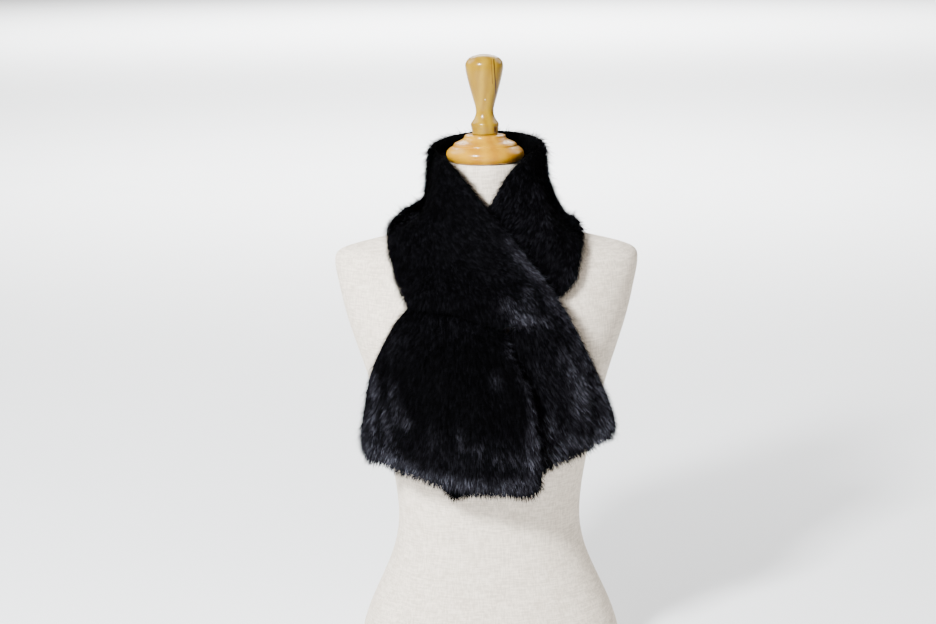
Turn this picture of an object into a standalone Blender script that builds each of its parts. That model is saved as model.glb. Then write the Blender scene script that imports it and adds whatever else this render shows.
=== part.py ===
"""A black fur pull-through scarf on a limbless dress form.

Metres, +Z up, the front faces -Y, X to the right as seen from the front. The origin is the middle of
the form's flat bottom. The scarf is one long band of fur, 14 mm thick. It stands round the neck, folds
out over the shoulders and crosses on the chest. The band on the left, as seen from the front, lies
over the other one, which comes out through its slot and fans over the front.
"""

import math

import bmesh
import bpy
import numpy as np

# Driving sizes of the dress form
TORSO_HEIGHT = 0.6645
TORSO_LEVELS = 34
TORSO_SIDES = 44
BUST_HEIGHT = 0.355
TURNED_STEPS = 40
SHARP_ANGLE = math.radians(50)

# Driving sizes of the scarf
FUR_THICK = 0.014
FUR_EDGE_THICK = 0.0048
FUR_GAP = 0.0012
SEAM_GAP = 0.00045
PLACES_ACROSS = 18
EDGE_CLOSENESS = 0.35
EDGE_ROUND = 0.007
HEM_STEPS = np.array([0.04, 0.11])
HEM_CORNER = 0.016
HEM_DRAW = 0.7
HEM_PART = 0.45
FLUTE_RAMP = 1.6

# Lines along each piece of the scarf
OVER_LINES = 15
NECK_LINES = 25
UNDER_LINES = 13
FAN_LINES = 17
TAIL_LINES = 18

# How the chest's places follow the form: the share of its half width where they stop turning to the
# side, and how fast the hanging ends come back under the bust
TURN_LIMIT = 0.90
HANG_SLOPE = 0.10

# Small steps for reading slopes, and how often a point is moved off the form
FORM_PROBE = 0.0001
LINE_PROBE = 0.01
CLEARING_PASSES = 5

# The form's level sections: height, half width, front depth, back depth, squareness of the oval
FORM_SECTIONS = np.array([
    (0.000, 0.1760, 0.1060, 0.1220, 2.30),
    (0.030, 0.1730, 0.1050, 0.1190, 2.30),
    (0.060, 0.1660, 0.1020, 0.1120, 2.30),
    (0.090, 0.1540, 0.0970, 0.1020, 2.25),
    (0.120, 0.1400, 0.0910, 0.0920, 2.20),
    (0.150, 0.1275, 0.0870, 0.0830, 2.20),
    (0.190, 0.1185, 0.0860, 0.0780, 2.20),
    (0.230, 0.1205, 0.0920, 0.0800, 2.20),
    (0.270, 0.1265, 0.1020, 0.0850, 2.20),
    (0.310, 0.1350, 0.1150, 0.0910, 2.20),
    (0.355, 0.1460, 0.1240, 0.0960, 2.20),
    (0.400, 0.1580, 0.1200, 0.1000, 2.20),
    (0.445, 0.1740, 0.1080, 0.1020, 2.15),
    (0.480, 0.1840, 0.0960, 0.1000, 2.10),
    (0.515, 0.1910, 0.0820, 0.0930, 2.05),
    (0.540, 0.1955, 0.0705, 0.0830, 1.95),
    (0.552, 0.1930, 0.0655, 0.0775, 1.85),
    (0.560, 0.1760, 0.0630, 0.0740, 1.70),
    (0.568, 0.1420, 0.0605, 0.0705, 1.60),
    (0.577, 0.1090, 0.0580, 0.0665, 1.60),
    (0.587, 0.0850, 0.0555, 0.0625, 1.70),
    (0.600, 0.0665, 0.0530, 0.0580, 1.85),
    (0.617, 0.0560, 0.0500, 0.0535, 2.00),
    (0.640, 0.0490, 0.0475, 0.0495, 2.00),
    (TORSO_HEIGHT, 0.0460, 0.0460, 0.0470, 2.00),
])

# Turned profiles, top to bottom: radius, height
CAP_PROFILE = (
    (0.0000, 0.7000),
    (0.0235, 0.7000),
    (0.0260, 0.6985),
    (0.0260, 0.6960),
    (0.0300, 0.6925),
    (0.0385, 0.6895),
    (0.0405, 0.6875),
    (0.0405, 0.6855),
    (0.0450, 0.6830),
    (0.0485, 0.6800),
    (0.0500, 0.6760),
    (0.0495, 0.6715),
    (0.0470, 0.6675),
    (0.0440, 0.6648),
    (0.0000, 0.6648),
)
KNOB_PROFILE = (
    (0.0000, 0.8010),
    (0.0100, 0.8001),
    (0.0180, 0.7972),
    (0.0228, 0.7928),
    (0.0245, 0.7875),
    (0.0238, 0.7800),
    (0.0212, 0.7680),
    (0.0170, 0.7520),
    (0.0130, 0.7390),
    (0.0110, 0.7300),
    (0.0118, 0.7235),
    (0.0148, 0.7175),
    (0.0178, 0.7145),
    (0.0182, 0.7105),
    (0.0166, 0.7060),
    (0.0162, 0.7003),
    (0.0000, 0.7003),
)

# The band's sections, each with five places from its upper or inner edge to its lower or outer edge.
# Round the neck a place is azimuth in degrees (0 front, 90 right, 180 back), radius, height.
NECK_SECTIONS = {
    "left front": (
        (-27, 0.0665, 0.656), (-37, 0.0820, 0.621), (-47, 0.0985, 0.586),
        (-56, 0.1185, 0.564), (-61, 0.1365, 0.540),
    ),
    "left corner": (
        (-55, 0.0670, 0.681), (-58, 0.0780, 0.643), (-61, 0.0870, 0.604),
        (-66, 0.1135, 0.588), (-69, 0.1325, 0.562),
    ),
    "left side": (
        (-90, 0.0660, 0.686), (-90, 0.0680, 0.652), (-90, 0.0715, 0.6130),
        (-90, 0.0985, 0.5985), (-90, 0.1235, 0.5775),
    ),
    "left back": (
        (-135, 0.0660, 0.694), (-135, 0.0685, 0.657), (-135, 0.0745, 0.6150),
        (-135, 0.0970, 0.5940), (-133, 0.1150, 0.5610),
    ),
    "back": (
        (-180, 0.0670, 0.697), (-180, 0.0680, 0.658), (-180, 0.0730, 0.6150),
        (-180, 0.0905, 0.5850), (-180, 0.1015, 0.5470),
    ),
    "right back": (
        (-225, 0.0690, 0.697), (-225, 0.0700, 0.658), (-225, 0.0765, 0.6160),
        (-225, 0.0970, 0.5920), (-227, 0.1140, 0.5590),
    ),
    "right side": (
        (-270, 0.0715, 0.688), (-270, 0.0725, 0.656), (-270, 0.0820, 0.6120),
        (-270, 0.1010, 0.5880), (-270, 0.1190, 0.5740),
    ),
    "right corner": (
        (-318, 0.0660, 0.674), (-309, 0.0790, 0.643), (-300, 0.0920, 0.601),
        (-295, 0.1135, 0.578), (-291, 0.1305, 0.562),
    ),
    "right front": (
        (-343, 0.0635, 0.645), (-328, 0.0770, 0.615), (-316, 0.0930, 0.586),
        (-306, 0.1165, 0.560), (-300, 0.1345, 0.538),
    ),
}

# On the chest a place is x, height, how far the band's middle lies in front of the form.
OVER_SECTIONS = {
    "slot line": (
        (0.096, 0.495, 0.0225), (0.058, 0.480, 0.0240), (0.014, 0.479, 0.0330),
        (-0.042, 0.497, 0.0350), (-0.102, 0.502, 0.0300),
    ),
    "over the slot": (
        (0.072, 0.522, 0.0265), (0.034, 0.511, 0.0300), (-0.010, 0.510, 0.0345),
        (-0.056, 0.514, 0.0350), (-0.1045, 0.5085, 0.0280),
    ),
    "over the crossing": (
        (0.040, 0.566, 0.0280), (0.008, 0.550, 0.0290), (-0.028, 0.537, 0.0310),
        (-0.066, 0.528, 0.0310), (-0.1090, 0.5175, 0.0215),
    ),
    "over the throat": (
        (0.005, 0.613, 0.0275), (-0.022, 0.588, 0.0275), (-0.052, 0.563, 0.0290),
        (-0.084, 0.543, 0.0215), (-0.1165, 0.5290, 0.0125),
    ),
}
UNDER_SECTIONS = {
    "under the throat": (
        (0.000, 0.6120, 0.0090), (0.028, 0.587, 0.0100), (0.054, 0.565, 0.0110),
        (0.083, 0.545, 0.0110), (0.1140, 0.5250, 0.0105),
    ),
    "under the crossing": (
        (-0.040, 0.566, 0.0090), (-0.014, 0.553, 0.0095), (0.018, 0.541, 0.0100),
        (0.055, 0.524, 0.0100), (0.0905, 0.5035, 0.0100),
    ),
    "in the slot": (
        (-0.098, 0.497, 0.0125), (-0.072, 0.495, 0.0150), (-0.044, 0.492, 0.0155),
        (-0.014, 0.487, 0.0150), (0.0180, 0.4800, 0.0120),
    ),
}
FAN_SECTIONS = {
    "fan mouth": (
        (-0.1145, 0.480, 0.0200), (-0.080, 0.477, 0.0240), (-0.048, 0.473, 0.0250),
        (-0.013, 0.467, 0.0245), (0.0220, 0.4640, 0.0240),
    ),
    "fan top": (
        (-0.1280, 0.458, 0.0280), (-0.089, 0.453, 0.0325), (-0.052, 0.450, 0.0335),
        (-0.010, 0.447, 0.0335), (0.0290, 0.4450, 0.0320),
    ),
    "fan upper": (
        (-0.1475, 0.414, 0.0285), (-0.097, 0.407, 0.0325), (-0.048, 0.403, 0.0330),
        (0.001, 0.402, 0.0330), (0.0510, 0.4020, 0.0315),
    ),
    "fan lower": (
        (-0.1585, 0.358, 0.0290), (-0.106, 0.348, 0.0330), (-0.051, 0.343, 0.0330),
        (0.004, 0.341, 0.0330), (0.0610, 0.3420, 0.0320),
    ),
    "fan swing": (
        (-0.1635, 0.319, 0.0290), (-0.109, 0.305, 0.0340), (-0.052, 0.296, 0.0340),
        (0.004, 0.289, 0.0340), (0.0650, 0.2845, 0.0330),
    ),
    "fan hem": (
        (-0.1600, 0.300, 0.0290), (-0.109, 0.288, 0.0340), (-0.052, 0.2755, 0.0340),
        (0.004, 0.2655, 0.0340), (0.0640, 0.2605, 0.0330),
    ),
}
TAIL_SECTIONS = {
    "tail top": (
        (0.096, 0.495, 0.0225), (0.058, 0.480, 0.0240), (0.012, 0.456, 0.0100),
        (-0.040, 0.452, 0.0090), (-0.088, 0.456, 0.0090),
    ),
    "tail bulge": (
        (0.1115, 0.4650, 0.0225), (0.072, 0.455, 0.0215), (0.030, 0.436, 0.0105),
        (-0.024, 0.431, 0.0090), (-0.075, 0.436, 0.0090),
    ),
    "tail upper": (
        (0.1275, 0.4310, 0.0190), (0.088, 0.420, 0.0175), (0.042, 0.412, 0.0100),
        (-0.010, 0.408, 0.0090), (-0.064, 0.412, 0.0090),
    ),
    "tail lower": (
        (0.1505, 0.3750, 0.0145), (0.104, 0.362, 0.0150), (0.056, 0.352, 0.0100),
        (0.004, 0.345, 0.0090), (-0.056, 0.350, 0.0090),
    ),
    "tail swing": (
        (0.1620, 0.3350, 0.0120), (0.113, 0.318, 0.0120), (0.060, 0.304, 0.0100),
        (0.004, 0.290, 0.0090), (-0.058, 0.282, 0.0090),
    ),
    "tail hem": (
        (0.1610, 0.3215, 0.0120), (0.113, 0.3045, 0.0120), (0.060, 0.287, 0.0100),
        (0.006, 0.271, 0.0090), (-0.0555, 0.250, 0.0090),
    ),
}
# The share of the band's width, from its inner edge, that is sewn on beside the slot
SEWN_SHARE = 0.45

# Soft flutes that fall down each flared end: place across at the top and at the hem, depth, half width
FAN_FLUTES = (
    (0.22, 0.15, 0.0065, 0.060),
    (0.40, 0.34, 0.0050, 0.055),
    (0.58, 0.56, 0.0040, 0.060),
    (0.80, 0.78, 0.0055, 0.055),
)
TAIL_FLUTES = (
    (0.20, 0.13, 0.0050, 0.055),
    (0.45, 0.36, 0.0030, 0.060),
)

# Colour, roughness, metallic
FINISHES = {
    "linen": ((0.62, 0.57, 0.49), 0.9, 0.0),
    "amber wood": ((0.60, 0.28, 0.06), 0.25, 0.0),
    "olive wood": ((0.50, 0.33, 0.12), 0.3, 0.0),
    "black fur": ((0.012, 0.012, 0.015), 0.6, 0.0),
}


def clear_scene():
    for thing in list(bpy.data.objects):
        bpy.data.objects.remove(thing, do_unlink=True)


def finish_of(name):
    material = bpy.data.materials.get(name)
    if material is None:
        colour, roughness, metallic = FINISHES[name]
        material = bpy.data.materials.new(name)
        material.use_nodes = True
        shader = material.node_tree.nodes["Principled BSDF"]
        shader.inputs["Base Color"].default_value = (*colour, 1.0)
        shader.inputs["Roughness"].default_value = roughness
        shader.inputs["Metallic"].default_value = metallic
        material.diffuse_color = (*colour, 1.0)
    return material


def new_object(name, mesh, finish, collection):
    thing = bpy.data.objects.new(name, mesh)
    mesh.materials.append(finish_of(finish))
    collection.objects.link(thing)
    return thing


def smooth_table(rows, at):
    """The rows, read at the steps in `at` (0 is the first row) along smooth curves through them."""
    rows = np.asarray(rows, float)
    chords = np.linalg.norm(np.diff(rows.reshape(len(rows), -1), axis=0), axis=1)
    places = np.concatenate([[0.0], np.cumsum(chords)])
    slopes = np.gradient(rows, places, axis=0)
    at = np.clip(at, 0, len(rows) - 1)
    low = np.minimum(at.astype(int), len(rows) - 2)
    shape = (-1,) + (1,) * (rows.ndim - 1)
    s = (at - low).reshape(shape)
    span = (places[low + 1] - places[low]).reshape(shape)
    return (
        (2 * s**3 - 3 * s**2 + 1) * rows[low]
        + (s**3 - 2 * s**2 + s) * span * slopes[low]
        + (3 * s**2 - 2 * s**3) * rows[low + 1]
        + (s**3 - s**2) * span * slopes[low + 1]
    )


def form_section(height):
    """Half width, front depth, back depth and squareness of the form at each height."""
    levels = FORM_SECTIONS[:, 0]
    height = np.clip(height, levels[0], levels[-1])
    slopes = np.gradient(FORM_SECTIONS[:, 1:], levels, axis=0)
    low = np.clip(np.searchsorted(levels, height, side="right") - 1, 0, len(levels) - 2)
    span = levels[low + 1] - levels[low]
    s = ((height - levels[low]) / span)[..., None]
    span = span[..., None]
    below, above = FORM_SECTIONS[low, 1:], FORM_SECTIONS[low + 1, 1:]
    read = (
        (2 * s**3 - 3 * s**2 + 1) * below
        + (s**3 - 2 * s**2 + s) * span * slopes[low]
        + (3 * s**2 - 2 * s**3) * above
        + (s**3 - s**2) * span * slopes[low + 1]
    )
    return np.moveaxis(read, -1, 0)


def fullness(points):
    """1 on the form's surface, less inside it, more outside it."""
    half, front, back, square = form_section(points[..., 2])
    depth = np.where(points[..., 1] < 0, front, back)
    across = np.abs(points[..., 0]) / half
    along = np.abs(points[..., 1]) / depth
    return (across**square + along**square + 1e-12) ** (1 / square)


def clear_of_form(points, least):
    """Moves each point that lies nearer to the form than `least` straight out until it doesn't."""
    for _ in range(CLEARING_PASSES):
        here = fullness(points)
        rises = [fullness(points + FORM_PROBE * axis) - here for axis in np.eye(3)]
        slope = np.stack(rises, axis=-1) / FORM_PROBE
        steep = np.linalg.norm(slope, axis=-1, keepdims=True)
        distance = (here - 1)[..., None] / steep
        points = points + np.maximum(least - distance, 0) * slope / steep
    return points


def on_front(x, height, layer):
    """A point in front of the form. Under the bust the fur hangs down instead of following the waist."""
    half, front, _, square = (float(v) for v in form_section(np.float64(height)))
    if height < BUST_HEIGHT:
        bust_half, bust_front, _, square = (float(v) for v in form_section(np.float64(BUST_HEIGHT)))
        half = max(half, bust_half)
        front = max(front, bust_front - HANG_SLOPE * (BUST_HEIGHT - height))
    reach = min(abs(x) / half, TURN_LIMIT)
    return (x, -front * (1 - reach**square) ** (1 / square) - layer, height)


def round_neck(azimuth, radius, height):
    turn = math.radians(azimuth)
    return (radius * math.sin(turn), -radius * math.cos(turn), height)


def placed(sections, place):
    return [[place(*spot) for spot in row] for row in sections.values()]


def across_places():
    """Steps across the band, closer together at its two edges."""
    even = np.linspace(0, 1, PLACES_ACROSS)
    eased = 0.5 - 0.5 * np.cos(math.pi * even)
    return (1 - EDGE_CLOSENESS) * even + EDGE_CLOSENESS * eased


def sampled(rows):
    """Each row's five places, read at all the steps across the band."""
    across = across_places()
    return np.stack([smooth_table(row, across * (len(row) - 1)) for row in rows])


def clear_surface(lines, steps):
    """The middle of the fur at the steps along its rows, kept off the form."""
    return clear_of_form(smooth_table(lines, steps), 0.5 * FUR_THICK + FUR_GAP)


def band_surface(lines, steps):
    """The middle of the fur, its unit normals away from the form and the way along the band."""
    surface = clear_surface(lines, steps)
    along = clear_surface(lines, steps + LINE_PROBE) - clear_surface(lines, steps - LINE_PROBE)
    across = np.gradient(surface, axis=1)
    normals = np.cross(across, along)
    along = np.cross(normals, across)
    along /= np.linalg.norm(along, axis=-1, keepdims=True)
    normals /= np.linalg.norm(normals, axis=-1, keepdims=True)
    if (normals * surface * (1, 1, 0)).sum() < 0:
        normals = -normals
    return surface, normals, along


def fluted(surface, normals, flutes, ramp):
    """Sinks the flutes into the surface, deeper towards its hem."""
    across = across_places()[None, :]
    ramp = ramp[:, None]
    sink = np.zeros(surface.shape[:2])
    for top, hem, depth, width in flutes:
        centre = top + (hem - top) * ramp
        sink += depth * np.exp(-(((across - centre) / width) ** 2))
    return surface - normals * (sink * np.minimum(FLUTE_RAMP * ramp, 1))[..., None]


def hem_shaped(surface, along, flutes, ramp):
    """Rounds the two corners of a hem and draws it up a little at the flutes."""
    lengths = np.linalg.norm(np.diff(surface[-1], axis=0), axis=-1)
    from_first = np.concatenate([[0.0], np.cumsum(lengths)])
    from_edge = np.minimum(from_first, from_first[-1] - from_first)
    rest = np.clip(HEM_CORNER - from_edge, 0, HEM_CORNER)
    lift = HEM_CORNER - np.sqrt(HEM_CORNER**2 - rest**2)
    for _, hem, depth, width in flutes:
        lift += HEM_DRAW * depth * np.exp(-(((across_places() - hem) / width) ** 2))
    share = np.clip((ramp - 1) / HEM_PART + 1, 0, 1) ** 2
    return surface - along * share[:, None, None] * lift[None, :, None]


def edge_fall(distance):
    """Share of the full thickness at a distance from a rounded edge."""
    rest = np.clip(1 - distance / EDGE_ROUND, 0, 1)
    least = FUR_EDGE_THICK / FUR_THICK
    return least + (1 - least) * np.sqrt(1 - rest**2)


def distances(surface, axis):
    """How far each point lies from the first line of points, along the surface."""
    lengths = np.linalg.norm(np.diff(surface, axis=axis), axis=-1)
    start = np.zeros_like(np.take(lengths, [0], axis=axis))
    return np.concatenate([start, np.cumsum(lengths, axis=axis)], axis=axis)


def half_thickness(surface, free_start, free_end):
    """Half the thickness of the fur, rounded off at its sides and at the free places of its ends."""
    across = distances(surface, 1)
    along = distances(surface, 0)
    half = 0.5 * FUR_THICK * edge_fall(np.minimum(across, across[:, -1:] - across))
    half = half * np.where(free_start, edge_fall(along), 1)
    half = half * np.where(free_end, edge_fall(along[-1:] - along), 1)
    return half[..., None]


def fur_wall(name, surface, normals, half, collection):
    """A closed wall of fur about its middle surface."""
    count, wide = surface.shape[:2]
    shape = bmesh.new()
    fronts = [[shape.verts.new(p) for p in line] for line in surface + normals * half]
    backs = [[shape.verts.new(p) for p in line] for line in surface - normals * half]
    rings = [outer + inner[::-1] for outer, inner in zip(fronts, backs)]
    for near, far in zip(rings, rings[1:]):
        for k in range(2 * wide):
            n = (k + 1) % (2 * wide)
            shape.faces.new((near[k], near[n], far[n], far[k]))
    for line in (0, count - 1):
        for k in range(wide - 1):
            shape.faces.new((fronts[line][k], fronts[line][k + 1], backs[line][k + 1], backs[line][k]))
    bmesh.ops.recalc_face_normals(shape, faces=shape.faces)
    mesh = bpy.data.meshes.new(name)
    shape.to_mesh(mesh)
    shape.free()
    mesh.shade_smooth()
    mesh.set_sharp_from_angle(angle=SHARP_ANGLE)
    return new_object(name, mesh, "black fur", collection)


def even_steps(first, last, count, hem_at_start, hem_at_end):
    """Steps from one row to another, with closer ones where a hem is rounded off."""
    steps = np.linspace(first, last, count)
    if hem_at_start:
        steps = np.insert(steps, 1, first + HEM_STEPS)
    if hem_at_end:
        steps = np.insert(steps, -1, last - HEM_STEPS[::-1])
    return steps


def build_scarf(collection):
    over = placed(OVER_SECTIONS, on_front)
    neck = placed(NECK_SECTIONS, round_neck)
    under = placed(UNDER_SECTIONS, on_front)
    fan = placed(FAN_SECTIONS, on_front)
    lines = sampled(over + neck + under + fan)
    left_seam = len(over) + 1
    right_seam = len(over) + len(neck) - 2
    slot = len(over) + len(neck) + len(under) - 1
    hem = len(lines) - 1
    beside_slot = across_places() < SEWN_SHARE
    pieces = (
        ("scarf_over", even_steps(0, left_seam, OVER_LINES, True, False), ~beside_slot, False),
        ("scarf_neck", even_steps(left_seam, right_seam, NECK_LINES, False, False), False, False),
        ("scarf_under", even_steps(right_seam, slot, UNDER_LINES, False, False), False, False),
        ("scarf_under_end", even_steps(slot, hem, FAN_LINES, False, True), False, True),
    )
    for name, steps, free_start, free_end in pieces:
        surface, normals, along = band_surface(lines, steps)
        if name == "scarf_over":
            slot_edge = surface[0], normals[0], along[0]
        else:
            surface[0] += 0.5 * SEAM_GAP * along[0]
        if name == "scarf_under_end":
            ramp = (steps - slot) / (hem - slot)
            surface = fluted(surface, normals, FAN_FLUTES, ramp)
            surface = hem_shaped(surface, along, FAN_FLUTES, ramp)
        else:
            surface[-1] -= 0.5 * SEAM_GAP * along[-1]
        half = half_thickness(surface, free_start, free_end)
        fur_wall(name, surface, normals, half, collection)
    build_tail(placed(TAIL_SECTIONS, on_front), slot_edge, beside_slot, collection)


def build_tail(rows, slot_edge, sewn, collection):
    """The lower end of the band that lies over. Its upper edge is sewn on only beside the slot."""
    last = len(rows) - 1
    lines = sampled(rows)
    edge, edge_normals, edge_along = slot_edge
    lines[0, sewn] = (edge - SEAM_GAP * edge_along)[sewn]
    steps = even_steps(0, last, TAIL_LINES, False, True)
    surface, normals, along = band_surface(lines, steps)
    normals[0, sewn] = edge_normals[sewn]
    surface = fluted(surface, normals, TAIL_FLUTES, steps / last)
    surface = hem_shaped(surface, along, TAIL_FLUTES, steps / last)
    surface = clear_of_form(surface, 0.5 * FUR_THICK + FUR_GAP)
    half = half_thickness(surface, ~sewn, True)
    fur_wall("scarf_over_end", surface, normals, half, collection)


def build_torso(collection):
    levels = np.linspace(0, len(FORM_SECTIONS) - 1, TORSO_LEVELS)
    heights = np.interp(levels, np.arange(len(FORM_SECTIONS)), FORM_SECTIONS[:, 0])
    shape = bmesh.new()
    rings = []
    for height in heights:
        half, front, back, square = (float(v) for v in form_section(np.float64(height)))
        ring = []
        for k in range(TORSO_SIDES):
            turn = 2 * math.pi * (k + 0.5) / TORSO_SIDES
            side, fore = math.sin(turn), -math.cos(turn)
            x = half * math.copysign(abs(side) ** (2 / square), side)
            y = (front if fore < 0 else back) * math.copysign(abs(fore) ** (2 / square), fore)
            ring.append(shape.verts.new((x, y, height)))
        rings.append(ring)
    for low, high in zip(rings, rings[1:]):
        for k in range(TORSO_SIDES):
            n = (k + 1) % TORSO_SIDES
            shape.faces.new((low[k], low[n], high[n], high[k]))
    shape.faces.new(rings[0])
    shape.faces.new(rings[-1])
    bmesh.ops.recalc_face_normals(shape, faces=shape.faces)
    mesh = bpy.data.meshes.new("form_torso")
    shape.to_mesh(mesh)
    shape.free()
    mesh.shade_smooth()
    mesh.set_sharp_from_angle(angle=SHARP_ANGLE)
    new_object("form_torso", mesh, "linen", collection)


def turned(name, profile, finish, collection):
    shape = bmesh.new()
    points = [shape.verts.new((radius, 0, height)) for radius, height in profile]
    for a, b in zip(points, points[1:]):
        shape.edges.new((a, b))
    mesh = bpy.data.meshes.new(name)
    shape.to_mesh(mesh)
    shape.free()
    thing = new_object(name, mesh, finish, collection)
    screw = thing.modifiers.new("turned", "SCREW")
    screw.steps = TURNED_STEPS
    screw.render_steps = TURNED_STEPS
    screw.use_merge_vertices = True
    screw.merge_threshold = 0.0001
    screw.use_smooth_shade = True
    return thing


def main():
    clear_scene()
    collection = bpy.data.collections.new("fur scarf on a dress form")
    bpy.context.scene.collection.children.link(collection)
    build_torso(collection)
    turned("neck_cap", CAP_PROFILE, "amber wood", collection)
    turned("neck_knob", KNOB_PROFILE, "olive wood", collection)
    build_scarf(collection)


main()
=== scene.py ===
"""How the fur scarf and its dress form look.

Each stretch of the scarf is a shell of underfur that lies just inside its solid, with tapered hairs on it
that reach a little past the solid. The hair is combed along the bands, from the nape to the two hems.
"""

import math

import bmesh
import bpy
import numpy as np
from mathutils import Euler, Matrix, Vector
from mathutils.bvhtree import BVHTree


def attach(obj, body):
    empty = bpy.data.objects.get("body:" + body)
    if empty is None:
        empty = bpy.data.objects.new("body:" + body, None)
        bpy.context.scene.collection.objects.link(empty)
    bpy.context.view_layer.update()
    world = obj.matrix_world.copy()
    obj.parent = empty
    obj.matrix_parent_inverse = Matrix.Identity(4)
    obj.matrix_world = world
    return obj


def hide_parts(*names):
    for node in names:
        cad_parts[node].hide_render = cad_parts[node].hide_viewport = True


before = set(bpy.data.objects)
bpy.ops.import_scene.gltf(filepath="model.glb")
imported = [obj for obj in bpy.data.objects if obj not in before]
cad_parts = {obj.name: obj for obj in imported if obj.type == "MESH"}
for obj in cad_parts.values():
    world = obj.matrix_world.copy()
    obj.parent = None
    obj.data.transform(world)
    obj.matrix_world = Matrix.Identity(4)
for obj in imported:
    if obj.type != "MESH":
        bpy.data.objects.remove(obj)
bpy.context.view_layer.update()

# Points this near to each other are one, edges sharper than this stay sharp, and triangles that turn less
# than this to each other are joined
WELD = 0.00001
SHARP_ANGLE = math.radians(50)
JOIN_ANGLE = math.radians(40)

# The underfur lies this far inside its solid, but never more than a share of the wall there
UNDERFUR_INSET = 0.0027
UNDERFUR_SHARE = 0.30
# The thickest wall, and how far under its surface it is measured from
WALL = 0.014
WALL_START = 0.0003
# Points this near to another stretch are sewn to it. Their normals lean over the seam, and without that part
# they are about this long.
SEAM_REACH = 0.0008
SEAM_SLOPE = 0.7
# The scarf's outer side faces away from the neck and this much up. The gain sets how fast outer turns inner.
OUTER_RISE = 0.5
OUTER_GAIN = 1.2

# The stretches of the scarf: what it is called, flat cut and its area
SCARF = {
    "scarf_neck": ("neck_stretch", (0.160, 0.31), 0.0470),
    "scarf_over": ("over_band", (0.155, 0.175), 0.0260),
    "scarf_under": ("under_band", (0.155, 0.165), 0.0240),
    "scarf_over_end": ("over_band_end", (0.225, 0.205), 0.0390),
    "scarf_under_end": ("under_band_fan", (0.230, 0.205), 0.0430),
}
# Its hair: how many, how long, how far it stands up, how uneven its tufts are, and the room that it needs
# at the hem
HAIR = {
    "scarf_neck": (60000, 0.0080, 0.66, 0.7, 0),
    "scarf_over": (60000, 0.0078, 0.55, 0.3, 0),
    "scarf_under": (46000, 0.0078, 0.55, 0.4, 0),
    "scarf_over_end": (60000, 0.0090, 0.45, 0.65, 0.0026),
    "scarf_under_end": (64000, 0.0090, 0.45, 0.65, 0.0026),
}
# Tufts for each metre where the fur is even and where it is uneven
EVEN_TUFTS = 430
UNEVEN_TUFTS = 300
# The heights between which the hem's room grows, and how far past the lower one it goes on growing
HEM_SPAN = (0.46, 0.27)
HEM_MOST = 1.2

HAIR_WIDTH = 0.00043
HAIR_SEED = 7
# A hair, a unit long and high, bends here: how far along and up that is, and half its width there
HAIR_BEND = (0.45, 0.62)
BEND_HALF_WIDTH = 0.4
# The share of the hair that the inner side has, and how low it lies where there is none
INNER_COVER = 0.42
BARE_LIFT = 0.45
# How the hair leaves its combing: in swirls of this size and strength, with its tuft, towards the middle of
# its tuft (for each metre), and by itself
SWIRL_SIZE = 0.020
SWIRL = 0.75
TUFT_LEAN = 0.5
TUFT_GATHER = 58.0
STRAY = 0.15
# The draws between which guard hairs begin, and how much longer and higher than others they are
GUARD_DRAW = (0.90, 0.94)
GUARD_LENGTH = 0.35
GUARD_LIFT = 0.5
# Patches of longer and shorter hair: their size, the least length and how much more noise adds
PATCH_SIZE = 0.011
PATCH_LEAST = 0.72
PATCH_MORE = 0.56
# How each hair's own length, lift and width vary
OWN_LENGTH = (0.80, 1.12)
OWN_LIFT = (0.75, 1.25)
OWN_WIDTH = (0.75, 1.25)
# How much of a hair's shade is its own and how much is its tuft's
OWN_SHADE = 0.40
TUFT_SHADE = 0.60
# What each random draw adds to the seed
DRAWS = {"stray": 11, "guard": 23, "length": 31, "lift": 43, "width": 53, "shade": 61}

# The way the hair is combed, as seen from the front: x, height, then the way across and up
COMBING = {
    "scarf_over": (
        (-0.075, 0.640, 0.45, -0.90),
        (-0.030, 0.600, 0.60, -0.80),
        (-0.105, 0.545, 0.30, -0.95),
        (0.010, 0.560, 0.68, -0.72),
        (-0.040, 0.520, 0.38, -0.92),
        (0.056, 0.525, 0.62, -0.78),
        (0.088, 0.500, 0.40, -0.92),
        (0.056, 0.490, 0.22, -0.97),
        (0.015, 0.488, 0.08, -1.00),
        (-0.040, 0.500, 0.00, -1.00),
        (-0.090, 0.500, -0.12, -1.00),
    ),
    "scarf_under": (
        (0.080, 0.640, -0.40, -0.90),
        (0.110, 0.560, -0.30, -0.95),
        (0.020, 0.590, -0.60, -0.80),
        (0.060, 0.540, -0.55, -0.83),
        (-0.040, 0.530, -0.80, -0.60),
    ),
    "scarf_over_end": (
        (-0.040, 0.450, 0.05, -1.00),
        (0.030, 0.460, 0.12, -0.99),
        (0.092, 0.475, 0.40, -0.92),
        (0.060, 0.465, 0.22, -0.97),
        (0.150, 0.350, 0.42, -0.91),
        (0.100, 0.330, 0.26, -0.96),
        (0.040, 0.300, 0.12, -0.99),
        (-0.050, 0.280, -0.05, -1.00),
    ),
    "scarf_under_end": (
        (-0.060, 0.480, -0.05, -1.00),
        (-0.115, 0.450, -0.30, -0.95),
        (-0.155, 0.340, -0.38, -0.92),
        (-0.110, 0.300, -0.24, -0.97),
        (-0.050, 0.290, -0.06, -1.00),
        (0.010, 0.280, 0.06, -1.00),
        (0.060, 0.290, 0.22, -0.97),
        (0.020, 0.450, 0.16, -0.98),
    ),
}
# How softly one guide takes over from the next: an area in square metres, and a power
GUIDE_BLUR = 0.0001
GUIDE_POWER = 1.5
# How far the hair round the neck turns down, and over what angle it parts at the nape
NECK_FALL = 0.85
NAPE_PARTING = 0.6

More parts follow.
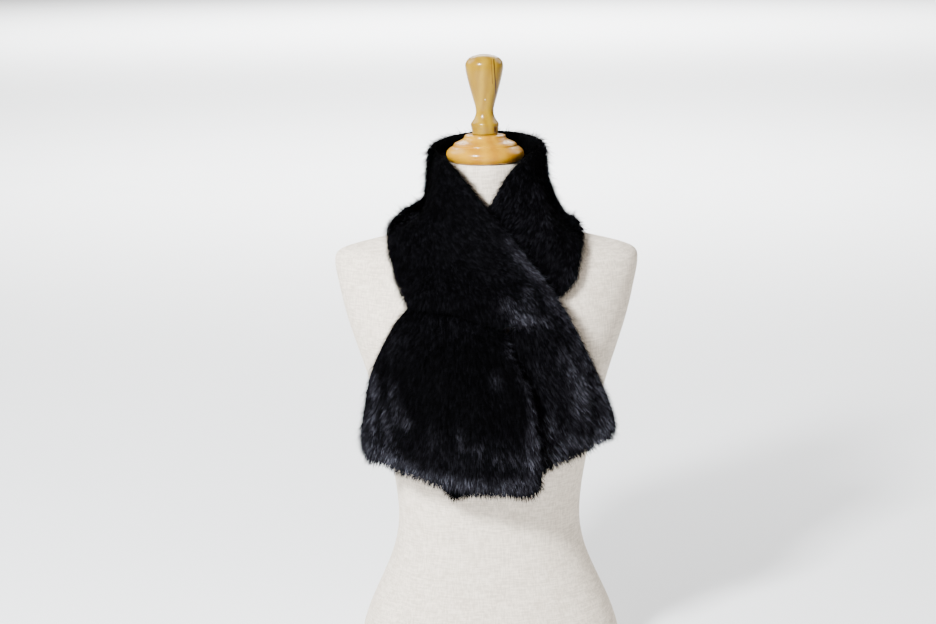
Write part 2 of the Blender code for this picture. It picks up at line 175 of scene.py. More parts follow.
# Painted sheen, laid into the hair's colour. Where the hair shines, as seen from the front, in millimetres:
# x, height, reach across and up, and amount, which is less than 0 where the hair is duller
OVER_BAND_SHINE = (
    (22, 579, 6, 9, 0.16),
    (37, 562, 7, 10, 0.40),
    (49, 550, 7, 9, 0.46),
    (61, 537, 7, 9, 0.50),
    (71, 523, 6, 9, 0.30),
    (80, 508, 7, 10, 0.32),
    (90, 496, 7, 10, 0.36),
    (99, 481, 6, 11, 0.34),
    (30, 494, 6, 9, 0.50),
    (42, 486, 8, 7, 0.62),
    (56, 483, 8, 6, 0.58),
    (68, 482, 6, 5, 0.35),
    (18, 504, 5, 8, 0.30),
    (44, 503, 10, 8, 0.20),
    (46, 518, 4, 5, 0.34),
    (-62, 494, 52, 11, -0.025),
    (110, 456, 7, 13, 0.30),
    (121, 432, 7, 11, 0.36),
    (91, 442, 6, 9, 0.24),
    (101, 420, 7, 12, 0.50),
    (110, 404, 9, 12, 0.70),
    (113, 388, 9, 11, 0.66),
    (106, 372, 7, 11, 0.36),
    (121, 362, 7, 15, 0.60),
    (135, 406, 6, 11, 0.50),
    (141, 390, 5, 11, 0.66),
    (147, 370, 5, 12, 0.52),
    (147, 345, 10, 13, 0.62),
    (73, 356, 7, 13, 0.36),
    (78, 312, 11, 12, 0.70),
    (105, 326, 12, 10, 0.70),
    (92, 336, 30, 26, 0.10),
    (80, 405, 40, 50, 0.045),
    (131, 326, 12, 10, 0.66),
)
SHINE = {
    "scarf_neck": (
        (0, 562, 45, 14, 0.35),
        (-40, 600, 20, 14, 0.22),
        (40, 610, 20, 16, 0.22),
        (-102, 604, 24, 24, 0.12),
        (107, 600, 24, 24, 0.12),
    ),
    "scarf_over": OVER_BAND_SHINE,
    "scarf_under": (
        (106, 531, 8, 10, 0.15),
        (76, 600, 8, 16, 0.06),
        (74, 622, 24, 28, 0.05),
    ),
    "scarf_over_end": OVER_BAND_SHINE,
    "scarf_under_end": (
        (-146, 418, 4, 14, 0.34),
        (-140, 401, 4, 13, 0.48),
        (-137, 387, 4, 10, 0.34),
        (-143, 362, 4, 14, 0.50),
        (-141, 341, 4, 12, 0.42),
        (-153, 350, 4, 14, 0.36),
        (-117, 402, 3, 13, 0.30),
        (-115, 380, 3, 14, 0.34),
        (-126, 364, 4, 14, 0.36),
        (-122, 344, 4, 12, 0.32),
        (-104, 368, 5, 9, 0.22),
        (-99, 360, 5, 8, 0.28),
        (-150, 320, 8, 12, 0.56),
        (-134, 315, 8, 10, 0.42),
        (-128, 313, 4, 11, 0.60),
        (-116, 312, 8, 12, 0.32),
        (-112, 306, 12, 8, 0.48),
        (-95, 300, 12, 8, 0.54),
        (-74, 294, 12, 8, 0.60),
        (-50, 290, 14, 8, 0.50),
        (-30, 288, 14, 8, 0.50),
        (-8, 286, 14, 8, 0.48),
        (16, 284, 14, 9, 0.50),
        (42, 284, 12, 10, 0.50),
        (-35, 345, 5, 9, 0.26),
        (-67, 344, 5, 9, 0.18),
        (-14, 336, 6, 9, 0.22),
        (9, 322, 6, 10, 0.24),
        (28, 318, 6, 11, 0.16),
        (51, 356, 4, 14, 0.44),
        (53, 336, 6, 14, 0.62),
        (50, 314, 8, 14, 0.58),
        (51, 384, 3, 16, 0.34),
        (46, 408, 3, 14, 0.34),
        (36, 432, 4, 12, 0.34),
        (24, 455, 5, 9, 0.34),
        (7, 418, 5, 8, 0.26),
        (-50, 312, 110, 28, 0.045),
        (-118, 460, 22, 22, 0.045),
        (-50, 478, 50, 14, 0.040),
    ),
}
# And how much painted sheen it has elsewhere
DULL = {
    "scarf_neck": 0.060,
    "scarf_over": 0.036,
    "scarf_under": 0.060,
    "scarf_over_end": 0.036,
    "scarf_under_end": 0.020,
}

# Creases of the outer side, in millimetres: from x, y, z, to x, y, z, depth (less than 0 is a ridge), width
CREASES = {
    "scarf_neck": (
        (-88, 58, 640, -104, 72, 590, 2.6, 9),
        (-30, 84, 660, -34, 100, 600, 2.2, 9),
        (38, 84, 655, 46, 98, 596, 2.4, 9),
        (92, 50, 650, 108, 60, 592, 2.6, 9),
        (-84, -20, 655, -100, -24, 600, 2.2, 8),
        (84, -24, 650, 104, -28, 596, 2.6, 8),
        (-73, -16, 692, -73, -34, 652, 2.4, 16),
        (78, -12, 692, 79, -16, 652, 2.8, 12),
        (83, -16, 634, 91, -14, 616, -2.8, 9),
        (102, -4, 610, 115, -7, 592, 4.2, 11),
        (-83, 10, 622, -95, 13, 607, 3.2, 10),
    ),
    "scarf_over": (
        (-74, -55, 618, -61, -75, 599, 3.4, 7),
        (-61, -75, 599, -52, -91, 567, 3.0, 7),
        (-72, -46, 648, -73, -50, 632, 3.2, 11),
        (-46, -54, 668, -38, -62, 658, -2.6, 6),
        (-122, -52, 598, -119, -57, 560, -2.2, 9),
        (8, -133, 492, 50, -127, 488, -1.6, 8),
        (92, -107, 502, 98, -104, 494, 2.4, 7),
        (-98, -92, 499, -40, -112, 494, 2.6, 9),
        (-40, -112, 494, 0, -124, 488, 1.8, 8),
        (24, -91, 576, 59, -103, 536, -2.0, 9),
        (59, -103, 536, 88, -110, 500, -2.0, 9),
        (-70, -105, 560, -58, -118, 520, 2.0, 9),
        (-20, -110, 560, 10, -120, 520, 1.6, 9),
    ),
    "scarf_under": (
        (61, -55, 654, 50, -73, 606, 3.2, 7),
        (90, -40, 650, 92, -53, 603, 3.0, 7),
        (92, -60, 590, 80, -80, 548, 2.4, 8),
        (119, -58, 582, 118, -60, 566, -2.0, 8),
        (100, -78, 522, 88, -90, 508, 2.0, 8),
        (38, -61, 661, 25, -68, 645, -3.4, 7),
    ),
    "scarf_under_end": (
        (-131, -116, 405, -131, -110, 335, 3.4, 5),
        (-131, -110, 335, -127, -109, 300, 2.4, 6),
        (-148, -96, 395, -151, -100, 345, 2.4, 5),
        (-104, -128, 400, -108, -124, 320, 2.6, 6),
        (-69, -139, 437, -83, -141, 405, 2.0, 8),
        (-36, -150, 400, -40, -155, 330, 1.6, 9),
        (-6, -156, 400, 0, -160, 310, 1.8, 8),
        (30, -152, 400, 33, -155, 290, 2.4, 9),
        (-70, -140, 340, -76, -142, 285, 1.8, 8),
        (46, -146, 408, 55, -150, 300, -1.6, 7),
        (-140, -104, 402, -143, -106, 345, -1.2, 5),
        (-116, -121, 402, -120, -116, 345, -1.2, 6),
        (-96, -88, 488, -40, -112, 482, -1.8, 9),
        (4, -121, 480, 24, -126, 470, -1.4, 8),
    ),
    "scarf_over_end": (
        (120, -109, 425, 129, -97, 375, 3.2, 6),
        (129, -97, 375, 134, -87, 325, 3.0, 6),
        (72, -122, 450, 90, -120, 350, 1.8, 9),
        (91, -120, 442, 122, -101, 361, -1.6, 8),
        (135, -100, 408, 149, -84, 350, -1.2, 6),
        (20, -126, 360, 10, -128, 290, 2.0, 9),
        (25, -124, 474, 25, -124, 462, -1.8, 7),
    ),
}

# The knob's streaks, its small pin and the mark on its bead, as seen from the front: x, how far x moves
# for each metre up, half width, lowest, highest, colour
KNOB_MARKS = (
    (0.0145, -0.060, 0.0012, 0.7500, 0.7960, (0.045, 0.016, 0.004, 1)),
    (0.0100, -0.045, 0.0008, 0.7640, 0.7960, (0.130, 0.060, 0.004, 1)),
    (0.0125, 0.000, 0.0014, 0.7025, 0.7115, (0.060, 0.022, 0.006, 1)),
    (0.0005, 0.000, 0.0019, 0.7429, 0.7467, (0.130, 0.060, 0.004, 1)),
    (0.0005, 0.000, 0.0010, 0.7438, 0.7458, (0.760, 0.640, 0.440, 1)),
)

# Colours, with the first where the pattern is 0 and the second where it is 1
LINEN = ((0.530, 0.456, 0.369, 1), (0.744, 0.661, 0.555, 1))
LINEN_FLECK = (0.40, 0.33, 0.26, 1)
AMBER = ((0.44, 0.225, 0.004, 1), (0.30, 0.12, 0.002, 1))
OLIVE = ((0.300, 0.182, 0.006, 1), (0.175, 0.088, 0.001, 1))
UNDERFUR = ((0.0003, 0.0003, 0.0004, 1), (0.0012, 0.0012, 0.0014, 1))
# The hair's dark root colour, then its pale cool tip, which is painted sheen
HAIR_AND_SHEEN = ((0.0004, 0.0004, 0.0005, 1), (0.4300, 0.4300, 0.5450, 1))
FLOOR = ((0.88, 0.89, 0.90, 1), (0.91, 0.92, 0.93, 1))
DARK = (0, 0, 0, 1)

# The linen: its slubs, the clouds and flecks in it, how strongly each changes its colour, and its relief
SLUB_WIDTH = 0.0018
SLUB_LENGTH = 0.014
SLUB_CONTRAST = 4.6
CLOUD_SIZE = 0.03
CLOUD_CONTRAST = 0.4
FLECK_SIZES = (0.0016, 0.0016, 0.0010)
FLECK_RANGE = (0.68, 0.76)
FLECK_STRENGTH = 0.45
WEAVE_DEPTH = 0.0004
# The wood's grain: rings for each metre, how much it turns from side to back, the sizes and strength of its
# warp, its fine streaks, and the share of the rings in its shade
AMBER_GRAIN = 240
OLIVE_GRAIN = 400
GRAIN_TURN = 0.6
WARP_SIZES = (0.02, 0.02, 0.06)
GRAIN_WARP = 9
STREAK_SIZES = (0.0006, 0.0006, 0.02)
RING_SHARE = 0.55
# Marks lie on the front, which ends between these, and keep their full colour for this share of their width
FRONT_END = (-0.002, 0.001)
MARK_CORE = 0.3
# The underfur's tufts, and how deep they are
UNDERFUR_SIZES = (0.002, 0.002, 0.005)
UNDERFUR_DEPTH = 0.0015
# The painted sheen pales a hair towards its tip by this power of the way along and this power of its shade,
# and a little however dark its shade is
TIP_POWER = 1.2
SHADE_POWER = 3.9
LEAST_SHADE = 0.05

# The camera stands where the photo's did
CAMERA_PLACE = (-0.0245, -2.392, 0.948)
CAMERA_PITCH = math.radians(78.7)
CAMERA_ROLL = -0.0131
CAMERA_LENS = 72.58

# Studio lights: place, what they point at, size, power, colour. The last two light the floor far back.
LIGHTS = (
    ((-1.25, -2.00, 1.95), (0, 0, 0.5), 0.40, 340, (0.96, 0.98, 1.0)),
    ((1.7, -1.9, 1.2), (0, 0, 0.5), 1.2, 7, (1.0, 0.86, 0.68)),
    ((-1.5, 0.8, 1.9), (0, 0, 0.5), 1.4, 40, (0.90, 0.94, 1.0)),
    ((1.4, 0.9, 1.7), (0, 0, 0.5), 1.2, 20, (0.94, 0.96, 1.0)),
    ((0, 5, 4), (0, 7, 0), 4.0, 1150, (0.98, 0.99, 1.0)),
    ((0, 18, 8), (0, 20, 0), 10.0, 7400, (0.98, 0.99, 1.0)),
)
# The studio's own light, warm as it falls on the things in it and pale where the camera looks past them
ROOM_LIGHT = (1.0, 0.89, 0.74, 1)
ROOM_STRENGTH = 0.24
ROOM_SEEN = (0.97, 0.98, 1.0, 1)
ROOM_SEEN_STRENGTH = 1.15
# The far floor at the sides and in front runs into it, by this much and from here to there. Behind, where
# the lights reach it, it has no such glow: in a wedge that opens by this slope, with an edge of this width.
FLOOR_GLOW = 0.95
GLOW_START = 1.6
GLOW_FULL = 7.0
WEDGE_SLOPE = 0.3
WEDGE_EDGE = (1.0, 4.0)
FLOOR_SIZE = 40
FLOOR_MOTTLE = 0.4


class Wire:
    """A node's output. Sums and products of wires and numbers add Math nodes."""

    def __init__(self, tree, socket=None):
        self.tree = tree
        self.socket = socket

    def node(self, kind, settings=(), values=(), out=0):
        """An output of a new node, with these settings, and values or wires at its inputs."""
        made = self.tree.nodes.new(kind)
        for key, value in dict(settings).items():
            setattr(made, key, value)
        for key, value in dict(values).items():
            if isinstance(value, Wire):
                self.tree.links.new(value.socket, made.inputs[key])
            else:
                made.inputs[key].default_value = value
        return Wire(self.tree, made.outputs[out])

    def beside(self, out):
        """Another output of the same node."""
        return Wire(self.tree, self.socket.node.outputs[out])

    def maths(self, operation, *values):
        return self.node("ShaderNodeMath", {"operation": operation}, enumerate(values))

    def vector(self, operation, *values):
        return self.node("ShaderNodeVectorMath", {"operation": operation}, enumerate(values))

    def scaled(self, factor):
        values = {0: self, "Scale": factor}
        return self.node("ShaderNodeVectorMath", {"operation": "SCALE"}, values)

    def __add__(self, other):
        return self.maths("ADD", self, other)

    def __radd__(self, other):
        return self.maths("ADD", other, self)

    def __sub__(self, other):
        return self.maths("SUBTRACT", self, other)

    def __rsub__(self, other):
        return self.maths("SUBTRACT", other, self)

    def __mul__(self, other):
        return self.maths("MULTIPLY", self, other)

    def __rmul__(self, other):
        return self.maths("MULTIPLY", other, self)

    def __truediv__(self, other):
        return self.maths("DIVIDE", self, other)

    def __rtruediv__(self, other):
        return self.maths("DIVIDE", other, self)

    def __pow__(self, other):
        return self.maths("POWER", self, other)

    def step(self, low, high):
        """0 below low and 1 above high, smooth between them."""
        values = {"Value": self, "From Min": low, "From Max": high}
        return self.node("ShaderNodeMapRange", {"interpolation_type": "SMOOTHSTEP"}, values)

    def noise(self, sizes, detail=2.0):
        """Noise over the place in this wire, with blotches of about these sizes in metres."""
        place = self.vector("DIVIDE", self, sizes)
        return self.node("ShaderNodeTexNoise", values={"Vector": place, "Scale": 1.0, "Detail": detail})

    def mixed(self, first, second):
        """The first colour where this wire is 0 and the second where it is 1."""
        values = {"Factor": self, 6: first, 7: second}
        return self.node("ShaderNodeMix", {"data_type": "RGBA"}, values, out=2)


def new_material(name):
    """A material, the wire its nodes start from, and its shader's inputs."""
    made = bpy.data.materials.new(name)
    made.use_nodes = True
    return made, Wire(made.node_tree), made.node_tree.nodes["Principled BSDF"].inputs


def join(wire, socket):
    wire.tree.links.new(wire.socket, socket)


def bumped(height, depth, shader):
    """Raises a shader's surface by a height of 0 to 1 times a depth in metres."""
    values = {"Height": height, "Distance": depth, "Strength": 1.0}
    join(height.node("ShaderNodeBump", values=values), shader["Normal"])


def linen():
    """Fine off-white cloth with slubs and a few darker flecks."""
    made, start, shader = new_material("linen")
    place = start.node("ShaderNodeTexCoord", out="Object")
    up_slubs = place.noise((SLUB_WIDTH, SLUB_WIDTH, SLUB_LENGTH))
    level_slubs = place.noise((SLUB_LENGTH, SLUB_LENGTH, SLUB_WIDTH))
    cloudy = place.noise((CLOUD_SIZE,) * 3)
    flecks = place.noise(FLECK_SIZES, 1.0).step(*FLECK_RANGE)
    weave = 0.5 * up_slubs + 0.5 * level_slubs
    shade = (weave - 0.5) * SLUB_CONTRAST + (cloudy - 0.5) * CLOUD_CONTRAST + 0.5
    colour = (flecks * FLECK_STRENGTH).mixed(shade.mixed(*LINEN), LINEN_FLECK)
    join(colour, shader["Base Color"])
    shader["Roughness"].default_value = 0.92
    shader["Specular IOR Level"].default_value = 0.2
    bumped(weave, WEAVE_DEPTH, shader)
    return made


def wood(name, colours, grain, marks):
    """Lacquered wood with an upright grain, and dark or pale marks on its front."""
    made, start, shader = new_material(name)
    place = start.node("ShaderNodeTexCoord", out="Object")
    axes = place.node("ShaderNodeSeparateXYZ", values={0: place})
    x, y, z = axes, axes.beside(1), axes.beside(2)
    warp = place.noise(WARP_SIZES)
    fine = place.noise(STREAK_SIZES, 3.0)
    turn = x * grain + y * grain * GRAIN_TURN + warp * GRAIN_WARP
    rings = (turn.maths("SINE", turn) + 1) / 2
    shade = rings * RING_SHARE + fine * (1 - RING_SHARE)
    colour = shade.mixed(*colours)
    front = 1 - y.step(*FRONT_END)
    for middle, lean, half, low, high, mark in marks:
        away = x - ((z - low) * lean + middle)
        near = 1 - away.maths("ABSOLUTE", away).step(half * MARK_CORE, half)
        reach = z.step(low, low + half) * (1 - z.step(high - half, high))
        colour = (near * reach * front).mixed(colour, mark)
    join(colour, shader["Base Color"])
    shader["Roughness"].default_value = 0.36
    shader["Specular IOR Level"].default_value = 0.08
    shader["Coat Weight"].default_value = 0.35
    shader["Coat Roughness"].default_value = 0.17
    return made


def underfur():
    """The dense dark fur between the hairs."""
    made, start, shader = new_material("underfur")
    place = start.node("ShaderNodeTexCoord", out="Object")
    tufts = place.noise(UNDERFUR_SIZES, 3.0)
    join(tufts.mixed(*UNDERFUR), shader["Base Color"])
    shader["Roughness"].default_value = 0.9
    shader["Specular IOR Level"].default_value = 0.02
    bumped(tufts, UNDERFUR_DEPTH, shader)
    return made


def guard_hair():
    """Black hair, paler and cooler towards its tip where sheen is painted into its colour, most of all where
    the fur shines.
    """
    made, start, shader = new_material("black hair")
    tip = start.node("ShaderNodeAttribute", {"attribute_name": "tip"}, out="Fac")
    shade = start.node("ShaderNodeAttribute", {"attribute_name": "shade"}, out="Fac")
    shine = start.node("ShaderNodeAttribute", {"attribute_name": "shine"}, out="Fac")
    light = (tip**TIP_POWER) * (LEAST_SHADE + (shade**SHADE_POWER) * (1 - LEAST_SHADE)) * shine
    join(light.mixed(*HAIR_AND_SHEEN), shader["Base Color"])
    shader["Roughness"].default_value = 0.75
    shader["Specular IOR Level"].default_value = 0.01
    return made


def pale_floor():
    """A pale floor that the camera sees run into the studio's light far off."""
    made, start, shader = new_material("pale floor")
    place = start.node("ShaderNodeTexCoord", out="Object")
    mottle = place.noise((FLOOR_MOTTLE,) * 3)
    join(mottle.mixed(*FLOOR), shader["Base Color"])
    shader["Roughness"].default_value = 0.8
    axes = place.node("ShaderNodeSeparateXYZ", values={0: place})
    aside = (axes.maths("ABSOLUTE", axes) - axes.beside(1) * WEDGE_SLOPE).step(*WEDGE_EDGE)
    far = place.vector("LENGTH", place).beside("Value").step(GLOW_START, GLOW_FULL)
    seen = start.node("ShaderNodeLightPath", out="Is Camera Ray")
    join((far * aside * seen).mixed(DARK, ROOM_SEEN), shader["Emission Color"])
    shader["Emission Strength"].default_value = FLOOR_GLOW
    return made


def linked(name, data):
    """A new object in the scene, at the origin."""
    thing = bpy.data.objects.new(name, data)
    bpy.context.scene.collection.objects.link(thing)
    return thing


def made_plain(thing):
    """Turns what an object's modifiers make into its own mesh."""
    graph = bpy.context.evaluated_depsgraph_get()
    mesh = bpy.data.meshes.new_from_object(thing.evaluated_get(graph))
    thing.modifiers.clear()
    thing.data = mesh
    return thing


def finer(name, node, levels):
    """A smoother copy of a solid's surface. Its sharp edges stay sharp."""
    shape = bmesh.new()
    shape.from_mesh(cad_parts[node].data)
    bmesh.ops.remove_doubles(shape, verts=shape.verts, dist=WELD)
    bmesh.ops.join_triangles(
        shape, faces=shape.faces, angle_face_threshold=JOIN_ANGLE, angle_shape_threshold=SHARP_ANGLE
    )
    crease = shape.edges.layers.float.new("crease_edge")
    for edge in shape.edges:
        if len(edge.link_faces) == 2 and edge.calc_face_angle() > SHARP_ANGLE:
            edge[crease] = 1
    mesh = bpy.data.meshes.new(name)
    shape.to_mesh(mesh)
    shape.free()
    thing = linked(name, mesh)
    smooth = thing.modifiers.new("smooth", "SUBSURF")
    smooth.levels = levels
    smooth.render_levels = levels
    made_plain(thing)
    thing.data.shade_smooth()
    thing.data.set_sharp_from_angle(angle=SHARP_ANGLE)
    return thing


def finish(thing, material, slot, *nodes):
    """Gives a piece its material, puts it under the root and hides its nodes. Its slot is not used."""
    thing.data.materials.clear()
    thing.data.materials.append(material)
    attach(thing, "root")
    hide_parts(*nodes)


def vectors(items, key, count):
    """One vector of each item, as an array with a row for each."""
    read = np.empty(count * 3)
    items.foreach_get(key, read)
    return read.reshape(-1, 3)


def unit(rows):
    """The rows at length 1. A row of zeros stays as it is."""
    return rows / np.maximum(np.linalg.norm(rows, axis=1, keepdims=True), 1e-9)


def combed(node, points):
    """The way the hair is combed at each point, before it is laid against the fur."""
    if node not in COMBING:
        turn = np.arctan2(points[:, 0], -points[:, 1])
        forward = -np.sign(turn) * (1 - np.exp(-(((math.pi - np.abs(turn)) / NAPE_PARTING) ** 2)))
        return unit(np.stack([forward * np.cos(turn), forward * np.sin(turn), 0 * turn - NECK_FALL], 1))
    guides = np.array(COMBING[node])
    apart = points[:, None, [0, 2]] - guides[None, :, :2]
    weight = 1 / ((apart**2).sum(-1) + GUIDE_BLUR) ** GUIDE_POWER
    way = weight @ guides[:, 2:] / weight.sum(1, keepdims=True)
    return unit(np.stack([way[:, 0], 0 * way[:, 0], way[:, 1]], 1))


def shine_at(node, points):
    """How much sheen is painted on the hair at each point."""
    dull = np.full(len(points), 1 - DULL[node])
    for x, height, across, up, amount in SHINE[node]:
        aside, above = (points[:, 0] * 1000 - x) / across, (points[:, 2] * 1000 - height) / up
        dull *= 1 - amount * np.exp(-(aside**2) - above**2)
    return np.clip(1 - dull, 0, 1)


def crease_depth(node, points):
    """How far the creases sink each point, in metres."""
    sink = np.zeros(len(points))
    for row in CREASES[node]:
        start, end = np.array(row[:3]) / 1000, np.array(row[3:6]) / 1000
        depth, width = row[6] / 1000, row[7] / 1000
        line = end - start
        share = np.clip((points - start) @ line / (line @ line), 0, 1)
        apart = np.linalg.norm(points - start - share[:, None] * line, axis=1)
        sink += depth * np.exp(-((apart / width) ** 2))
    return sink


def toward_seams(node, points):
    """The way from each point to the stretch that it is sewn to, or zeros."""
    corners, faces = [], []
    for other in SCARF:
        if other != node:
            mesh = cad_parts[other].data
            faces += [[len(corners) + v for v in face.vertices] for face in mesh.polygons]
            corners += [vertex.co[:] for vertex in mesh.vertices]
    others = BVHTree.FromPolygons(corners, faces)
    toward = np.zeros(points.shape)
    for i, point in enumerate(points):
        near = others.find_nearest(Vector(point), SEAM_REACH)[0]
        if near is not None:
            toward[i] = np.array(near) - point
    return unit(toward)


def underfur_shell(node, name, hem_room):
    """The underfur: the solid's surface with its creases, drawn in to leave room for the hair."""
    thing = finer(name, node, 1)
    mesh = thing.data
    count = len(mesh.vertices)
    points = vectors(mesh.vertices, "co", count)
    normals = vectors(mesh.vertices, "normal", count)
    outward = unit(points * (1, 1, 0)) + (0, 0, OUTER_RISE)
    outer = np.clip(0.5 + OUTER_GAIN * (normals * unit(outward)).sum(1), 0, 1)
    way = combed(node, points)
    walls = BVHTree.FromPolygons(points.tolist(), [tuple(face.vertices) for face in mesh.polygons])
    inset = []
    for point, normal in zip(points, normals):
        reach = walls.ray_cast(Vector(point - WALL_START * normal), Vector(-normal), WALL)[3]
        inset.append(min(UNDERFUR_INSET, UNDERFUR_SHARE * (reach or WALL)))
    seams = toward_seams(node, points)
    sewn = seams.any(1)
    beside = np.where(sewn[:, None], seams, way)
    sideways = normals - beside * (normals * beside).sum(1, keepdims=True)
    sideways = np.where(sewn[:, None], sideways / SEAM_SLOPE, sideways)
    sink = np.array(inset) + outer * crease_depth(node, points)
    points = points - sideways * sink[:, None]
    top, hem = HEM_SPAN
    points[:, 2] += hem_room * np.clip((top - points[:, 2]) / (top - hem), 0, HEM_MOST) ** 2
    against = (way * normals).sum(1, keepdims=True)
    way = unit(way - normals * np.minimum(against, 0))
    mesh.vertices.foreach_set("co", points.ravel())
    mesh.attributes.new("comb", "FLOAT_VECTOR", "POINT").data.foreach_set("vector", way.ravel())
    values = {
        "cover": INNER_COVER + (1 - INNER_COVER) * outer,
        "sewn": sewn.astype(float),
        # Painted sheen for the hair's colour, on the outer side only
        "shine": shine_at(node, points) * outer,
    }
    for key, value in values.items():
        mesh.attributes.new(key, "FLOAT", "POINT").data.foreach_set("value", value)
    mesh.update()
    return thing


def blade():
    """One hair, a unit long and high: two corners at its root, two half way and its tip."""
    mesh = bpy.data.meshes.new("hair")
    bend = [(BEND_HALF_WIDTH, *HAIR_BEND), (-BEND_HALF_WIDTH, *HAIR_BEND)]
    corners = [(-0.5, 0, 0), (0.5, 0, 0), *bend, (0, 1, 1)]
    mesh.from_pydata(corners, [], [(0, 1, 2, 3), (3, 2, 4)])
    along = [corner[1] for corner in corners]
    mesh.attributes.new("tip", "FLOAT", "POINT").data.foreach_set("value", along)
    mesh.shade_smooth()
    return linked("hair", mesh)


def hair_nodes():
    """Scatters hairs over a shell, combed, gathered into tufts and uneven in length."""
    tree = bpy.data.node_groups.new("hair", "GeometryNodeTree")
    tree.is_modifier = True
    inputs = (
        ("Geometry", "NodeSocketGeometry"),
        ("Hair", "NodeSocketObject"),
        ("Density", "NodeSocketFloat"),
        ("Length", "NodeSocketFloat"),
        ("Lift", "NodeSocketFloat"),
        ("Uneven", "NodeSocketFloat"),
        ("Seed", "NodeSocketInt"),
        ("Material", "NodeSocketMaterial"),
    )
    for name, kind in inputs:
        tree.interface.new_socket(name, in_out="INPUT", socket_type=kind)
    tree.interface.new_socket("Geometry", in_out="OUTPUT", socket_type="NodeSocketGeometry")
    given = Wire(tree).node("NodeGroupInput")
    seed = given.beside("Seed")

    def named(name, kind):
        return given.node("GeometryNodeInputNamedAttribute", {"data_type": kind}, {"Name": name})

    def chance(draw, low, high):
        values = {2: low, 3: high, "Seed": seed + DRAWS[draw]}
        return given.node("FunctionNodeRandomValue", {"data_type": "FLOAT"}, values, out=1)

    cover = named("cover", "FLOAT")
    values = {"Mesh": given, "Density": cover * given.beside("Density"), "Seed": seed}
    roots = given.node("GeometryNodeDistributePointsOnFaces", values=values)
    normal = roots.beside("Normal")
    place = given.node("GeometryNodeInputPosition")
    colour = place.noise((SWIRL_SIZE,) * 3).beside("Color")
    swirl = colour.vector("SUBTRACT", colour, (0.5, 0.5, 0.5)).scaled(SWIRL)
    rough = given.beside("Uneven")
    tufts = EVEN_TUFTS + rough * (UNEVEN_TUFTS - EVEN_TUFTS)
    cell = given.node("ShaderNodeTexVoronoi", values={"Vector": place, "Scale": tufts}, out="Position")
    colour = cell.beside("Color")
    tuft = colour.node("ShaderNodeSeparateXYZ", values={0: colour})
    lean = colour.vector("SUBTRACT", colour, (0.5, 0.5, 0.5)).scaled(rough * TUFT_LEAN)
    gather = cell.vector("SUBTRACT", cell, place).scaled(TUFT_GATHER)
    values = {0: (-1, -1, -1), 1: (1, 1, 1), "Seed": seed + DRAWS["stray"]}
    stray = given.node("FunctionNodeRandomValue", {"data_type": "FLOAT_VECTOR"}, values).scaled(STRAY)
    way = named("comb", "FLOAT_VECTOR")
    for more in (swirl, lean, gather, stray):
        way = way.vector("ADD", way, more)
    axes = {"primary_axis": "Y", "secondary_axis": "Z"}
    turn = given.node("FunctionNodeAxesToRotation", axes, {0: way, 1: normal})
    patches = place.noise((PATCH_SIZE,) * 3)
    guard = chance("guard", 0.0, 1.0).step(*GUARD_DRAW)
    length = given.beside("Length") * (PATCH_LEAST + patches * PATCH_MORE)
    length = length * chance("length", *OWN_LENGTH) * (1 + guard * GUARD_LENGTH)
    lift = ((tuft.beside(1) - 0.5) * rough + 1) * chance("lift", *OWN_LIFT) * given.beside("Lift")
    lift = lift * (BARE_LIFT + cover * (1 - BARE_LIFT)) * (1 + guard * GUARD_LIFT)
    width = chance("width", *OWN_WIDTH) * HAIR_WIDTH
    size = given.node("ShaderNodeCombineXYZ", values={0: width, 1: length, 2: length * lift})
    hair = given.node("GeometryNodeObjectInfo", values={"Object": given.beside("Hair")}, out="Geometry")
    values = {"Points": roots, "Instance": hair, "Rotation": turn, "Scale": size}
    hairs = given.node("GeometryNodeInstanceOnPoints", values=values)
    shade = chance("shade", 0.0, OWN_SHADE) + tuft * TUFT_SHADE
    values = {"Geometry": hairs, "Name": "shade", "Value": shade}
    hairs = given.node("GeometryNodeStoreNamedAttribute", {"domain": "INSTANCE"}, values)
    hairs = given.node("GeometryNodeRealizeInstances", values={"Geometry": hairs})
    values = {"Geometry": hairs, "Material": given.beside("Material")}
    hairs = given.node("GeometryNodeSetMaterial", values=values)
    join(hairs, tree.nodes.new("NodeGroupOutput").inputs["Geometry"])
    return tree


def hair_on(shell, name, tree, hair, material, hairs, length, lift, uneven):
    """The hairs of one shell, as a mesh of their own. None grow inside its seams."""
    shape = bmesh.new()
    shape.from_mesh(shell.data)
    sewn = shape.verts.layers.float["sewn"]
    hidden = [face for face in shape.faces if all(corner[sewn] for corner in face.verts)]
    bmesh.ops.delete(shape, geom=hidden, context="FACES_ONLY")
    mesh = bpy.data.meshes.new(name)
    shape.to_mesh(mesh)
    shape.free()
    cover = np.empty(len(mesh.vertices))
    mesh.attributes["cover"].data.foreach_get("value", cover)
    areas = np.array([face.area for face in mesh.polygons])
    share = np.array([cover[list(face.vertices)].mean() for face in mesh.polygons])
    thing = linked(name, mesh)
    grow = thing.modifiers.new("hair", "NODES")
    grow.node_group = tree
    wanted = {
        "Hair": hair,
        "Density": hairs / float((areas * share).sum()),
        "Length": length,
        "Lift": lift,
        "Uneven": uneven,
        "Seed": HAIR_SEED,
        "Material": material,
    }
    for socket in tree.interface.items_tree:
        if socket.name in wanted:
            grow[socket.identifier] = wanted[socket.name]
    return made_plain(thing)


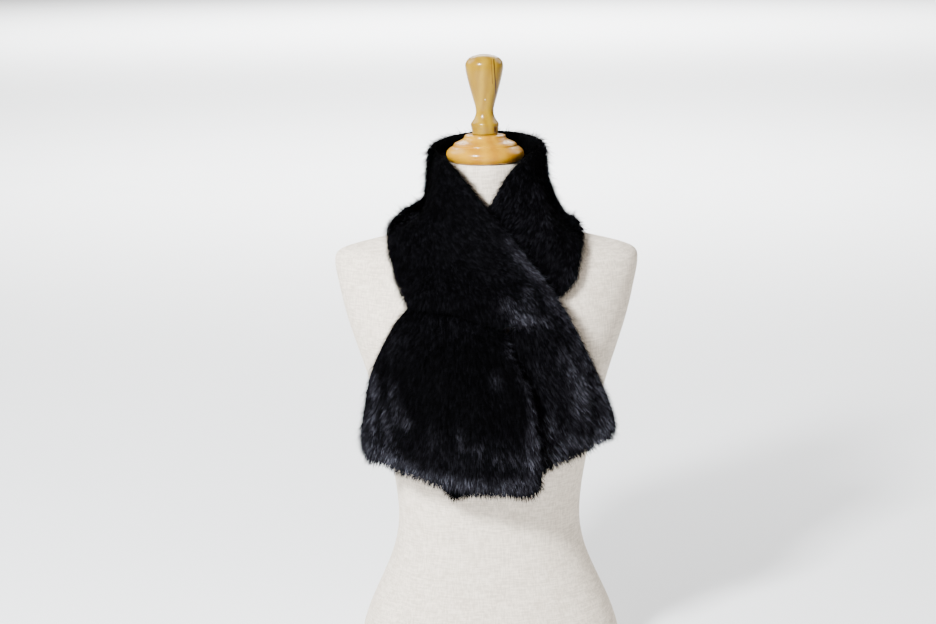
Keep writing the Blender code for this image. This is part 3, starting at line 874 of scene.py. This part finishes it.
def dress_form():
    """The linen form with its turned cap and knob."""
    form = finer("linen_form", "form_torso", 1)
    finish(form, linen(), "linen", "form_torso")
    cap = finer("wooden_cap", "neck_cap", 2)
    amber = wood("amber wood", AMBER, AMBER_GRAIN, ())
    finish(cap, amber, "amber_wood", "neck_cap")
    knob = finer("wooden_knob", "neck_knob", 2)
    olive = wood("olive wood", OLIVE, OLIVE_GRAIN, KNOB_MARKS)
    finish(knob, olive, "olive_wood", "neck_knob")


def scarf():
    """The stretches of the scarf, each with its underfur and its hair."""
    tree = hair_nodes()
    hair = blade()
    dark, black = underfur(), guard_hair()
    for node, (name, cut, area) in SCARF.items():
        hairs, length, lift, uneven, hem_room = HAIR[node]
        shell = underfur_shell(node, name, hem_room)
        fur = hair_on(shell, name + "_hair", tree, hair, black, hairs, length, lift, uneven)
        finish(shell, dark, "black_fur", node)
        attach(fur, "root")
    bpy.data.objects.remove(hair, do_unlink=True)


def studio():
    """A pale floor, soft lights and the photo's camera."""
    shape = bmesh.new()
    bmesh.ops.create_grid(shape, x_segments=1, y_segments=1, size=FLOOR_SIZE)
    mesh = bpy.data.meshes.new("floor")
    shape.to_mesh(mesh)
    shape.free()
    mesh.materials.append(pale_floor())
    staged = [linked("floor", mesh)]
    for number, (place, aim, size, power, colour) in enumerate(LIGHTS):
        light = bpy.data.lights.new(f"light {number}", "AREA")
        light.size = size
        light.energy = power
        light.color = colour
        lamp = linked(light.name, light)
        lamp.location = place
        lamp.rotation_euler = (Vector(aim) - lamp.location).to_track_quat("-Z", "Y").to_euler()
        staged.append(lamp)
    world = bpy.data.worlds.new("studio")
    world.use_nodes = True
    room = world.node_tree.nodes["Background"].inputs
    seen = Wire(world.node_tree).node("ShaderNodeLightPath", out="Is Camera Ray")
    join(seen.mixed(ROOM_LIGHT, ROOM_SEEN), room["Color"])
    join(seen * (ROOM_SEEN_STRENGTH - ROOM_STRENGTH) + ROOM_STRENGTH, room["Strength"])
    bpy.context.scene.world = world
    lens = bpy.data.cameras.new("camera")
    lens.lens = CAMERA_LENS
    camera = linked("camera", lens)
    camera.location = CAMERA_PLACE
    turn = Euler((CAMERA_PITCH, 0, 0)).to_matrix() @ Matrix.Rotation(CAMERA_ROLL, 3, "Z")
    camera.rotation_euler = turn.to_euler()
    bpy.context.scene.camera = camera
    staged.append(camera)


dress_form()
scarf()
studio()
